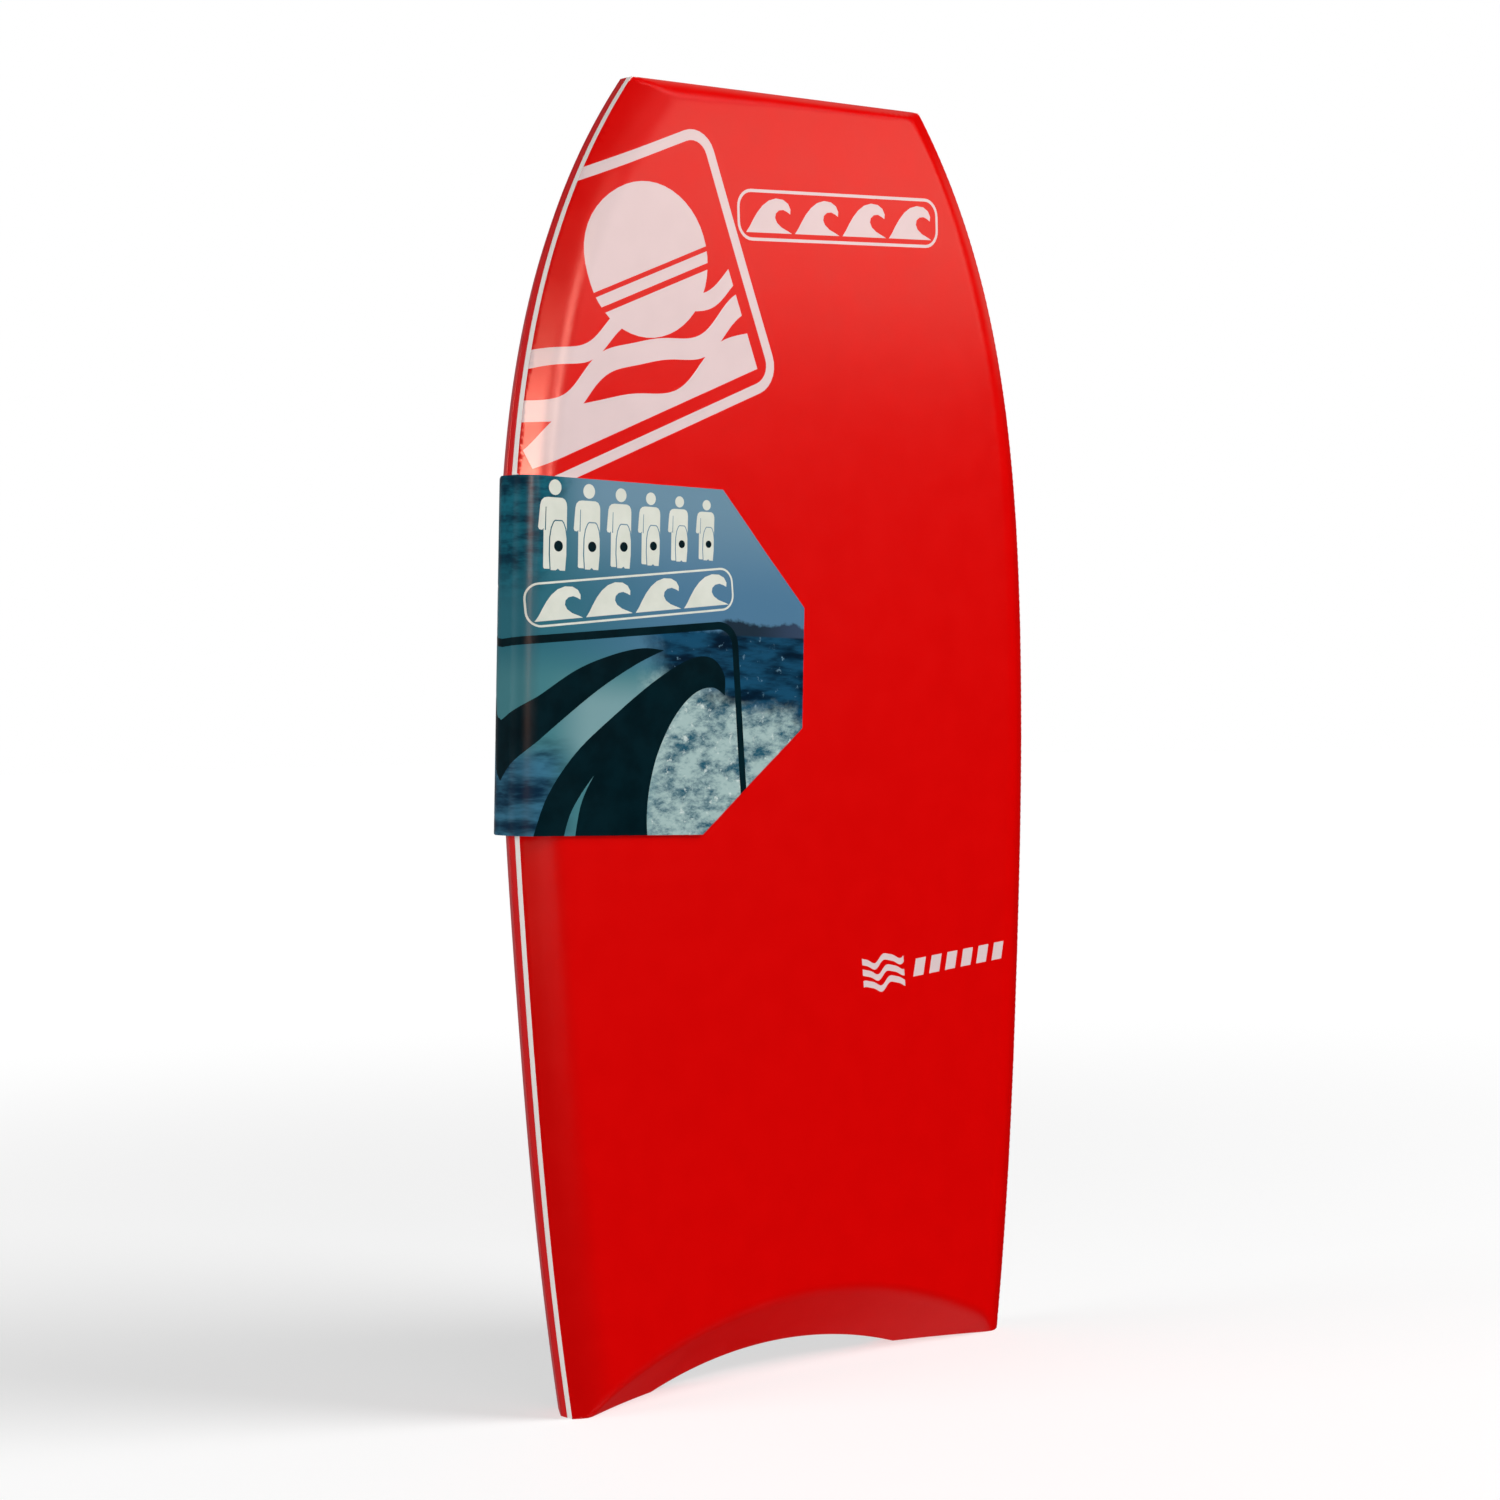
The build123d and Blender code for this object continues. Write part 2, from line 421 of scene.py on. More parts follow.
def foam_material(name, color, roughness=0.3, specular=0.5):
    """Cross-linked foam skin: fine cells, a faint linen grain and slow mottling."""
    n = Nodes(name)
    cells = n.noise(900, 2.0, 0.6)
    linen_up = n.noise(420, 1.0, 0.5, n.scaled(1.0, 1.0, 0.22))
    linen_across = n.noise(420, 1.0, 0.5, n.scaled(0.22, 1.0, 1.0))
    mottle = n.noise(38, 1.0, 0.5)
    cloud = n.noise(9, 2.0, 0.5)
    tone = n.math("ADD", n.product(mottle, 0.6), n.product(cloud, 0.4))
    darker, lighter = (tuple(c * factor for c in color) + (1.0,) for factor in (0.98, 1.02))
    n.set(Base_Color=n.mix(n.ramp(tone, 0.3, 0.7), darker, lighter))
    n.set(Roughness=n.ramp(mottle, 0.3, 0.7, roughness - 0.01, roughness + 0.02))
    n.set(Specular_IOR_Level=specular)
    weave = n.math("ADD", linen_up, linen_across)
    fine = n.math("ADD", n.product(cells, 0.5), n.product(weave, 0.5))
    soft = n.bump(mottle, 0.25, 0.0006)
    n.set(Normal=n.bump(fine, 0.16, 0.0003, soft))
    return n.material


deck_red = foam_material("deck_red", (0.70, 0.0006, 0.0006))
deck_print = foam_material("deck_print", (0.76, 0.60, 0.60), roughness=0.34)
rail_red = foam_material("rail_red", (0.70, 0.004, 0.006), roughness=0.32, specular=0.6)
# Lower rail: the same red foam, but its base colour is a little pinker than rail_red's, a painted
# sheen for the grazing reflection that lightens the lower rail; its higher specular is real gloss
rail_red_painted_sheen = foam_material("rail_red_painted_sheen", (0.70, 0.02, 0.025), roughness=0.30, specular=0.8)
pinline_white = foam_material("pinline_white", (0.96, 0.90, 0.86), roughness=0.4)


def slick_material():
    """Glossy pressed plastic with faint flow lines along the board and a few fine scratches."""
    n = Nodes("slick_black")
    flow = n.noise(60, 3.0, 0.5, n.scaled(1.0, 1.0, 0.05))
    peel = n.noise(260, 2.0, 0.5)
    scuffs = n.ramp(n.noise(130, 3.0, 0.7, n.scaled(1.0, 1.0, 0.02)), 0.66, 0.74)
    base = n.mix(n.ramp(flow, 0.3, 0.7), (0.010, 0.010, 0.012, 1), (0.016, 0.016, 0.018, 1))
    n.set(Base_Color=n.mix(n.product(scuffs, 0.25), base, (0.05, 0.05, 0.055, 1)))
    rough = n.ramp(flow, 0.3, 0.7, 0.20, 0.28)
    n.set(Roughness=n.math("ADD", rough, n.product(scuffs, 0.15)))
    soft = n.bump(flow, 0.15, 0.0008)
    n.set(Normal=n.bump(peel, 0.08, 0.0004, soft))
    return n.material


def core_material():
    """Beaded core foam, hidden inside the skins."""
    n = Nodes("core_beads")
    beads = n.fill(n.add("ShaderNodeTexVoronoi"), Vector=n.place, Scale=260)
    distance = beads.outputs["Distance"]
    middle, seam = (0.80, 0.80, 0.78, 1), (0.62, 0.62, 0.60, 1)
    n.set(Base_Color=n.mix(n.ramp(distance, 0.0, 0.7), middle, seam), Roughness=0.8)
    n.set(Normal=n.bump(distance, 0.4, 0.001))
    return n.material


# --- printed shapes
def arc_points(cx, cz, radius, start, end, count):
    angles = np.radians(np.linspace(start, end, count))
    return [(cx + radius * math.cos(a), cz + radius * math.sin(a)) for a in angles]


def rounded_box(width, height, radius, cx=0.0, cz=0.0, count=8):
    w, h = width / 2 - radius, height / 2 - radius
    points = arc_points(cx + w, cz + h, radius, 0, 90, count)
    points += arc_points(cx - w, cz + h, radius, 90, 180, count)
    points += arc_points(cx - w, cz - h, radius, 180, 270, count)
    return points + arc_points(cx + w, cz - h, radius, 270, 360, count)


def disc(cx, cz, radius, count=48):
    return arc_points(cx, cz, radius, 0, 360 - 360 / count, count)


def placed(points, cx, cz, turn, scale=1.0):
    """Turns points counterclockwise by degrees, scales them and moves them to (cx, cz)."""
    c, s = math.cos(math.radians(turn)) * scale, math.sin(math.radians(turn)) * scale
    return [(cx + x * c - z * s, cz + x * s + z * c) for x, z in points]


def wave_band(left, right, low, high, height, length, shift, steps=60):
    """A band between two parallel lines of rolling swell."""
    line = []
    for x in np.linspace(left, right, steps):
        phase = (x / length + shift) * 2 * math.pi
        line.append((x, height * (math.sin(phase) + 0.25 * math.sin(2 * phase + 0.6))))
    return [(x, high + rise) for x, rise in line] + [(x, low + rise) for x, rise in line[::-1]]


def crest(width, height):
    """A breaking wave seen from the side, on a flat base."""
    outline = [
        (0.0, 0.0), (0.08, 0.16), (0.16, 0.36), (0.26, 0.58), (0.38, 0.78), (0.52, 0.93),
        (0.68, 1.0), (0.84, 0.97), (0.95, 0.86), (1.0, 0.70), (0.99, 0.56), (0.93, 0.62),
        (0.84, 0.68), (0.74, 0.66), (0.67, 0.57), (0.65, 0.44), (0.69, 0.30), (0.79, 0.17),
        (0.93, 0.07), (1.02, 0.0),
    ]
    return [((u - 0.5) * width, (v - 0.5) * height) for u, v in outline]


def clipped(shape, low_x, high_x, low_z, high_z):
    """A polygon cut to a box."""
    cuts = ((0, low_x, True), (0, high_x, False), (1, low_z, True), (1, high_z, False))
    for axis, limit, keep_above in cuts:
        result = []
        for i, p in enumerate(shape):
            q = shape[(i + 1) % len(shape)]
            p_in = (p[axis] >= limit) == keep_above
            q_in = (q[axis] >= limit) == keep_above
            if p_in:
                result.append(p)
            if p_in != q_in:
                t = (limit - p[axis]) / (q[axis] - p[axis])
                result.append((p[0] + t * (q[0] - p[0]), p[1] + t * (q[1] - p[1])))
        shape = result
    return shape


def badge_shapes():
    """A tilted badge with a low sun over rolling waves. Each shape is (points, ink or hole)."""
    width, height, line = 280.0, 222.0, 8.5
    shapes = [
        (rounded_box(width, height, 24), True),
        (rounded_box(width - 2 * line, height - 2 * line, 16), False),
    ]
    reach, top = width / 2 - line - 11, height / 2 - line - 11
    shapes.append((disc(43, 26, 62), True))
    for low, high in ((0, 5), (14, 18)):
        shapes.append((rounded_box(130, high - low, 1.8, 43, (low + high) / 2), False))
    bands = ((-22, -8, 7, 132, 0.10), (-54, -36, 9, 150, 0.32), (-120, -68, 10, 170, 0.60))
    for low, high, swell, length, shift in bands:
        water = wave_band(-reach, reach, low, high, swell, length, shift)
        shapes.append((clipped(water, -reach, reach, -top, top), True))
    return [(placed(points, -183.4, 881, 21), ink) for points, ink in shapes]


def band_shapes(cx, cz, turn, width, height, line, wide_gap, count=4):
    """A row of breaking waves inside an outlined rounded band."""
    shapes = [
        (rounded_box(width, height, height * 0.36), True),
        (rounded_box(width - 2 * line, height - 2 * line, height * 0.36 - line), False),
    ]
    step = (width - 2 * line - 2 * wide_gap) / count
    for i in range(count):
        middle = -width / 2 + line + wide_gap + (i + 0.5) * step
        one = crest(step * 0.92, height - 2 * line - 2 * wide_gap)
        shapes.append(([(x + middle, z) for x, z in one], True))
    return [(placed(points, cx, cz, turn), ink) for points, ink in shapes]


def small_mark_shapes():
    """Three stacked ripples and a row of slanted bars."""
    shapes = []
    for low in (-12, -2, 8):
        shapes.append((wave_band(-26, 22, low, low + 5.5, 3.2, 30, 0.1 + low * 0.01, 30), True))
    for i in range(6):
        left = 32 + i * 19.0
        bar = [(left, -8.5), (left + 12, -8.5), (left + 16.5, 6.5), (left + 4.5, 6.5)]
        shapes.append((bar, True))
    return [(placed(points, 96, 330, 4.0), ink) for points, ink in shapes]


def printed(shapes, cover, bare):
    """What each triangle shows: the last shape that covers it, or bare."""
    return [shapes[max(covering)][1] if covering else bare for covering in cover]


# --- deck
def plan_outline(inset, along, across_nose, across_peg):
    """The border of a sheet that starts inset from the rails, with that many points a side."""
    stations = np.linspace(0, LENGTH, along)
    right = [(half_width(z) - inset * slant(z), z) for z in stations]
    at_tail, at_nose = right[0][0], right[-1][0]
    top = [(x, LENGTH) for x in np.linspace(at_nose, -at_nose, across_nose)[1:-1]]
    left = [(-x, z) for x, z in right[::-1]]
    pegs = np.linspace(-at_tail, -PEG_INNER_EDGE, across_peg)[1:]
    arc = np.linspace(-PEG_INNER_EDGE, PEG_INNER_EDGE, 60)[1:-1]
    across = np.concatenate([pegs, arc, -pegs[::-1]])
    return right + top + left + [(x, float(tail_line(x))) for x in across]


def inside(points, inset, margin):
    """The points that are at least a margin inside such a border."""
    kept = []
    for x, z in points:
        if inset_of(x, z) > inset + margin and LENGTH - margin > z > tail_line(x) + margin:
            kept.append((x, z))
    return kept


def deck_points():
    """Plan points for the deck's surface, dense where it bends."""
    points = []
    insets = [0.25, 0.6, 1.2, 3, 6, 9, 11, 13, 15, 17, 19, 21, 23, 25, 27, 29, 31, 33, 36, 40, 45]
    for inset in insets:
        for z in np.arange(3, LENGTH - 2, 6.0):
            x = float(half_width(z) - inset * slant(z))
            points += [(x, z), (-x, z)]
    for back in [0.25, 0.6, 1.2, 3, 6, 8, 10, 12, 14, 16, 18, 20, 22, 24, 27, 31, 36]:
        z = LENGTH - back
        reach = float(half_width(z) - 2)
        points += [(x, z) for x in np.linspace(-reach, reach, 52)]
    for over in list(np.arange(-43, 14, 1.9)) + [16, 20, 25]:
        radius = BEVEL_RADIUS + over
        for angle in np.linspace(-32, 32, 100):
            a = math.radians(90 + angle)
            points.append((radius * math.cos(a), BEVEL_CENTRE + radius * math.sin(a)))
    for back in (0.25, 0.6, 1.2, 2.5):
        points += [(x, float(tail_line(x)) + back) for x in np.linspace(-234, 234, 110)]
    for x in np.arange(-252, 253, 9.0):
        for z in np.arange(30, LENGTH - 38, 9.0):
            if inset_of(x, z) > 48 and math.hypot(x, z - BEVEL_CENTRE) > BEVEL_RADIUS + 28:
                points.append((x, z))
    return inside(points, 0, 0.2)


def deck_under(x, z):
    """The hidden side of the deck skin: its edge on the rails, and the foam's thickness inside."""
    depth = deck_depth(x, z)
    rim = np.maximum(SKIN_EDGE, bevel_depth(x, z) + BEVEL_SKIN)
    inner = smooth_step(0, 8, border_distance(x, z))
    return with_rocker(rim + (DECK_FOAM - (rim - depth)) * inner, z)


deck_shapes = badge_shapes() + band_shapes(54, 967.5, 2.0, 226, 42, 2.6, 4.2) + small_mark_shapes()
deck_border = plan_outline(0, 190, 56, 18)
plan, triangles, cover = triangulate(deck_border, deck_points(), [s for s, _ in deck_shapes])
deck = skin_object("deck_foam_skin", plan, triangles, deck_y, deck_under, -1)
deck.data.materials.append(deck_red)
deck.data.materials.append(deck_print)
for index, ink in enumerate(printed(deck_shapes, cover, False)):
    deck.data.polygons[index].material_index = 1 if ink else 0
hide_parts("deck_skin")


# --- slick
def slick_points():
    """Plan points for the slick, dense at its border and at the channels' walls."""
    points = []
    for inset in (0.3, 0.8, 1.6, 4, 9):
        for z in np.arange(3, LENGTH - 2, 7.0):
            x = float(half_width(z) - (SLICK_INSET + inset) * slant(z))
            points += [(x, z), (-x, z)]
    for back in (0.3, 0.8, 1.6, 4):
        reach = float(half_width(LENGTH - back) - (SLICK_INSET + 3) * slant(LENGTH - back))
        points += [(x, LENGTH - back) for x in np.linspace(-reach, reach, 44)]
        points += [(x, float(tail_line(x)) + back) for x in np.linspace(-218, 218, 100)]
    wall = np.arange(22, 31.5, 1.5)
    for middle in (-CHANNEL_MIDDLE, CHANNEL_MIDDLE):
        for off in np.concatenate([-wall[::-1], wall]):
            points += [(middle + off, z) for z in np.arange(14, 294, 5.0)]
        for z in np.arange(224, 294, 4.0):
            points += [(middle + off, z) for off in np.arange(-18, 19, 6.0)]
    for x in np.arange(-250, 251, 12.0):
        for z in np.arange(28, LENGTH - 8, 12.0):
            near_channel = abs(abs(abs(x) - CHANNEL_MIDDLE) - 26.5) < 7 and z < 300
            if inset_of(x, z) > SLICK_INSET + 12 and not near_channel:
                points.append((x, z))
    return inside(points, SLICK_INSET, 0.25)


def slick_under(x, z):
    return with_rocker(SLICK_EDGE - CHANNEL_DEPTH * channel(x, z), z)


plan, triangles, _ = triangulate(plan_outline(SLICK_INSET, 170, 50, 16), slick_points(), [])
slick = skin_object("slick_skin", plan, triangles, slick_y, slick_under, 1)
slick.data.materials.append(slick_material())
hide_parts("bottom_slick")


# --- rails and end strips
def band_profile(top, bottom, thick=4.8, round_off=0.7):
    """A strip's section with rounded outer corners, so that a fine groove shows between strips."""
    corner = [(u * round_off, v * round_off) for u, v in ((1, 0), (0.5, 0.12), (0.12, 0.5), (0, 1))]
    upper = [(inset, top + down) for inset, down in corner]
    lower = [(inset, bottom - down) for inset, down in corner[::-1]]
    return [(thick, top)] + upper + [(0.0, (top + bottom) / 2)] + lower + [(thick, bottom)]


def bilge_inset(depth):
    return float(smooth_max((depth - BILGE_TOP) * BILGE_SLOPE, 0.0, 2.4))


def lower_profile():
    """The lower rail's section: a rounded upper corner, and the bilge down to the slick."""
    start = 28.9
    section = [(4.8, UPPER_RAIL_EDGE), (0.9, UPPER_RAIL_EDGE), (0.4, 28.1), (0.12, 28.4)]
    for depth in (start, 29.8, 30.8, 32.0, 34.0, 37.0, 41.0, 45.0, 49.0, 51.5, 52.4):
        section.append((max(bilge_inset(depth) - bilge_inset(start), 0.0), depth))
    end, edge = bilge_inset(SLICK_EDGE) - bilge_inset(start), SLICK_EDGE
    return section + [(end - 0.1, 52.8), (end + 0.5, edge), (end + 5, edge), (6.0, 33.0)]


RAIL_LAYERS = (
    ("pinline_stripe", "pinline", band_profile(SKIN_EDGE, PINLINE_EDGE, round_off=0.3)),
    ("upper_rail_foam", "upper_rail", band_profile(PINLINE_EDGE, UPPER_RAIL_EDGE)),
    ("lower_rail_foam", "lower_rail", lower_profile()),
)
# The lower rail's material carries painted sheen in its pinker base colour
RAIL_LOOKS = ((pinline_white, "pinline_foam"), (rail_red, "rail_foam"), (rail_red_painted_sheen, "rail_foam"))
RAIL_STEPS = np.concatenate([[0, 0.6], np.arange(6, LENGTH - 3, 7.0), [LENGTH - 0.6, LENGTH]])
for side, word in ((-1, "left"), (1, "right")):
    stations = []
    for z in RAIL_STEPS:
        stations.append((side * float(half_width(z)), float(z), -side * float(slant(z)), 0.0))
    for (name, node, profile), (material, slot) in zip(RAIL_LAYERS, RAIL_LOOKS):
        strip = sweep(f"{name}_{word}", stations, [profile] * len(stations), material)
        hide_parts(f"{node}_{word}")


def end_bottom(x, z):
    """How deep an end strip reaches: to the slick, or just under the bilge near its ends."""
    bilge = BILGE_TOP + float(inset_of(x, z)) / BILGE_SLOPE - 0.5
    return min(SLICK_EDGE - CHANNEL_DEPTH * float(channel(x, z)), bilge)


# End strips start this far inside the board's ends
END_GAP = 0.05
nose_ends = np.linspace(139, 147, 8)
nose_across = np.concatenate([-nose_ends[::-1], np.linspace(-135, 135, 44), nose_ends])
nose_stations = [(float(x), LENGTH - END_GAP, 0.0, -1.0) for x in nose_across]
nose_profiles = [band_profile(15, end_bottom(x, LENGTH), 10.6) for x in nose_across]
nose = sweep("nose_end_strip", nose_stations, nose_profiles, rail_red)
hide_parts("nose_strip")

tail_stations, tail_profiles = [], []
for x in np.linspace(-229.0, 229.0, 180):
    z = float(tail_line(x))
    top = max(SKIN_EDGE, float(bevel_depth(x, z)) + BEVEL_SKIN)
    tail_stations.append((float(x), z + END_GAP, 0.0, 1.0))
    tail_profiles.append(band_profile(top, end_bottom(x, z), 6.5))
tail = sweep("tail_end_strip", tail_stations, tail_profiles, rail_red)
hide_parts("tail_strip")

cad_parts["foam_core"].data.materials[0] = core_material()


# --- sleeve
CARD = 0.8
# (x, z) of the middle of the fold, and how far the sleeve leans
SLEEVE_ORIGIN = (-282.2, 607.5)
SLEEVE_TILT = math.radians(2.6)
SLEEVE_REACH = 287.0
SLEEVE_HEIGHT = 281.0
SLEEVE_FRONT, SLEEVE_BACK, REARMOST = -28.85, 27.9, 28.7
# A cut corner's size along the flap and up it
UPPER_CUT = (89.0, 93.0)
LOWER_CUT = (104.0, 88.0)
SECTION = [
    (SLEEVE_REACH, SLEEVE_FRONT), (0.0, SLEEVE_FRONT), (0.0, 2.0), (17.2, SLEEVE_BACK),
    (SLEEVE_REACH, SLEEVE_BACK),
]
SECTION_RADII = [17.0, 14.0, 3.0]


def filleted(corners, radii, step=3.0):
    """Dense points along a polyline with rounded corners."""

    def run_to(end, count):
        start = points[-1]
        points.extend(start + (end - start) * k / count for k in range(1, count + 1))

    corners = [np.array(corner, float) for corner in corners]
    points = [corners[0]]
    for i, radius in enumerate(radii):
        corner = corners[i + 1]
        to_before, to_after = corners[i] - corner, corners[i + 2] - corner
        to_before /= np.linalg.norm(to_before)
        to_after /= np.linalg.norm(to_after)
        half = math.acos(float(np.clip(to_before @ to_after, -1, 1))) / 2
        reach = radius / math.tan(half)
        bisector = to_before + to_after
        bisector /= np.linalg.norm(bisector)
        centre = corner + bisector * radius / math.sin(half)
        start, end = corner + to_before * reach, corner + to_after * reach
        a0 = math.atan2(*(start - centre)[::-1])
        sweep_angle = math.atan2(*(end - centre)[::-1]) - a0
        sweep_angle = (sweep_angle + math.pi) % (2 * math.pi) - math.pi
        run_to(start, max(2, int(np.linalg.norm(start - points[-1]) / step)))
        arc = max(5, int(abs(sweep_angle) * radius / 0.9))
        for k in range(1, arc + 1):
            a = a0 + sweep_angle * k / arc
            points.append(centre + radius * np.array([math.cos(a), math.sin(a)]))
    run_to(corners[-1], int(np.linalg.norm(corners[-1] - points[-1]) / step))
    return np.array(points)


section = filleted(SECTION, SECTION_RADII)
section_along = np.concatenate([[0], np.cumsum(np.hypot(*np.diff(section, axis=0).T))])
tangent = np.gradient(section, section_along, axis=0)
tangent /= np.linalg.norm(tangent, axis=1)[:, None]
outward = np.column_stack([-tangent[:, 1], tangent[:, 0]])
if outward[0, 1] > 0:
    outward = -outward
SHEET = float(section_along[-1])


def sleeve_surface(p, q, grow):
    """World points of the card at p along its section and q up its height, grown outwards. The
    front flap's free edge and corners lift a little."""
    grown = section + grow * outward
    x, y = (np.interp(p, section_along, grown[:, i]) for i in (0, 1))
    corner = smooth_step(70, 0, np.minimum(SLEEVE_HEIGHT / 2 - np.abs(q), p * 0.9 + 8))
    y = np.minimum(y - smooth_step(150, 0, p) * (1.1 + 1.5 * corner), REARMOST)
    c, s = math.cos(SLEEVE_TILT), math.sin(SLEEVE_TILT)
    return np.column_stack([SLEEVE_ORIGIN[0] + x * c + q * s, y, SLEEVE_ORIGIN[1] - x * s + q * c])


def sheet_outline():
    """The flat card: both flaps have two cut corners."""
    h = SLEEVE_HEIGHT / 2
    corners = [
        (0.0, -h + LOWER_CUT[1]), (LOWER_CUT[0], -h), (SHEET - LOWER_CUT[0], -h),
        (SHEET, -h + LOWER_CUT[1]), (SHEET, h - UPPER_CUT[1]), (SHEET - UPPER_CUT[0], h),
        (UPPER_CUT[0], h), (0.0, h - UPPER_CUT[1]),
    ]
    return divided(corners, lambda length: max(2, int(length / 3.0)))


def sheet_points():
    h = SLEEVE_HEIGHT / 2
    points = []
    for p in section_along:
        edge = min(p, SHEET - p)
        low = -h + LOWER_CUT[1] * max(0, 1 - edge / LOWER_CUT[0])
        high = h - UPPER_CUT[1] * max(0, 1 - edge / UPPER_CUT[0])
        for q in np.arange(-h + 2, h - 1, 7.0):
            if low + 1 < q < high - 1 and edge > 0.5:
                points.append((float(p), float(q)))
    return points


PICTURE, WHITE_INK, DARK_INK, PLAIN_CARD = range(4)


def on_flap(points):
    """Points (x to the right from the fold line, z up) as the sheet's (p, q)."""
    return [(SLEEVE_REACH - x, z) for x, z in points]


def smooth_loop(corners, per=7):
    """A closed smooth curve through points. A point given twice stays sharp."""
    points = []
    count = len(corners)
    spots = [np.array(corner, float) for corner in corners]
    for i in range(count):
        before, a, b, after = (spots[(i + k) % count] for k in (-1, 0, 1, 2))
        if np.allclose(a, b):
            continue
        leaving = (b - a) / 2 if np.allclose(before, a) else (b - before) / 2
        arriving = (b - a) / 2 if np.allclose(b, after) else (after - a) / 2
        points += [tuple(hermite(k / per, a, leaving, b, arriving)) for k in range(per)]
    return points


def figure_shapes(x, top, height):
    """A pictogram of a standing person with a board at the side, as on any size guide."""
    body = [
        (-0.150, 0.015), (-0.135, 0.0), (0.12, 0.0), (0.14, 0.02), (0.14, 0.40), (0.17, 0.42),
        (0.17, 0.70), (0.163, 0.745), (0.14, 0.782), (0.10, 0.80), (-0.10, 0.80), (-0.15, 0.79),
        (-0.185, 0.76), (-0.20, 0.71), (-0.22, 0.46), (-0.208, 0.435), (-0.17, 0.43),
        (-0.152, 0.45),
    ]
    half_board = [
        (0.0, 0.022), (0.028, 0.0), (0.10, 0.0), (0.115, 0.18), (0.113, 0.36), (0.095, 0.465),
        (0.066, 0.53), (0.045, 0.55),
    ]
    board = half_board + [(-u, v) for u, v in half_board[:0:-1]]
    board = [(u + 0.055, v - 0.012) for u, v in board]
    gap = [(0.055 + (u - 0.055) * 1.14, 0.26 + (v - 0.26) * 1.05) for u, v in board]
    arm_gap = [(-0.134, 0.43), (-0.120, 0.43), (-0.118, 0.69), (-0.128, 0.69)]
    shapes = [
        (disc(0, 0.913, 0.087, 30), WHITE_INK),
        (body, WHITE_INK),
        (arm_gap, PICTURE),
        (gap, PICTURE),
        (board, WHITE_INK),
        (disc(0.058, 0.26, 0.062, 26), DARK_INK),
    ]
    result = []
    for points, kind in shapes:
        spot = [(x + u * height, top - height + v * height) for u, v in points]
        result.append((on_flap(spot), kind))
    return result


def frame_shape():
    """A thick line from round the fold that turns a rounded corner and runs off the lower edge."""
    half, radius, reach, drop = 3.2, 17.0, 270.0, -190.0
    outer = arc_points(-radius, -radius, radius + half, 90, 0, 14)
    inner = arc_points(-radius, -radius, radius - half, 0, 90, 14)
    line = [(-reach, half)] + outer + [(half, drop), (-half, drop)] + inner + [(-reach, -half)]
    return placed(line, 212.5, 31.2, 5.3)


def breaker_shapes():
    """Two dark rolling waves, one behind the other, with lighter lines along their backs."""
    near = [
        (10, -150), (10, -150), (24, -112), (52, -76), (92, -44), (134, -15), (168, 2), (190, 3),
        (203, -10), (204, -27), (204, -27), (192, -21), (176, -24), (160, -36), (146, -54),
        (134, -78), (127, -104), (125, -128), (127, -150), (127, -150),
    ]
    far = [
        (-60, -66), (-60, -66), (-22, -52), (14, -32), (52, -10), (88, 3), (118, 9), (140, 8),
        (140, 8), (112, -4), (76, -24), (38, -50), (6, -74), (-16, -95), (-32, -118), (-60, -140),
        (-60, -140),
    ]
    groove = [
        (40, -150), (40, -150), (50, -120), (76, -88), (110, -60), (140, -38), (140, -38),
        (113, -55), (82, -80), (60, -112), (52, -150), (52, -150),
    ]
    loops = ((near, DARK_INK), (far, DARK_INK), (groove, PICTURE))
    return [(smooth_loop(corners), kind) for corners, kind in loops]


# Each figure of the size guide: x, top and height
FIGURES = (
    (28.3, 138.0, 70.0), (61.7, 136.5, 66.5), (93.6, 135.1, 62.6), (123.9, 133.7, 57.7),
    (153.4, 132.5, 52.0), (181.4, 131.1, 48.3),
)


def sleeve_shapes():
    """All the printed shapes of the card, the back flap's as a mirror image without the figures."""
    shapes = []
    for points, kind in breaker_shapes() + [(frame_shape(), DARK_INK)]:
        shapes.append((clipped(on_flap(points), -50, SHEET / 2, -200, 200), kind))
    for points, ink in band_shapes(107, 49.5, 6.2, 209, 35, 1.7, 3.0):
        shapes.append((on_flap(points), WHITE_INK if ink else PICTURE))
    shapes += [([(SHEET - p, q) for p, q in points], kind) for points, kind in shapes]
    for x, top, height in FIGURES:
        shapes += figure_shapes(x, top, height)
    return shapes


def srgb(red, green, blue):
    """A colour given as it looks on a screen, from 0 to 255."""
    linear = []
    for c in (red, green, blue):
        c = c / 255
        linear.append(c / 12.92 if c <= 0.04045 else ((c + 0.055) / 1.055) ** 2.4)
    return tuple(linear) + (1.0,)


def coated_card(n, roughness):
    """Satin print on card: a faint waviness of the sheet and a fine paper tooth."""
    n.set(Roughness=n.ramp(n.noise(25, 2.0, 0.5), 0.3, 0.7, roughness - 0.03, roughness + 0.04))
    n.set(Specular_IOR_Level=0.1)
    soft = n.bump(n.noise(14, 2.0, 0.5), 0.25, 0.0012)
    n.set(Normal=n.bump(n.noise(1600, 2.0, 0.6), 0.10, 0.0001, soft))
    return n.material


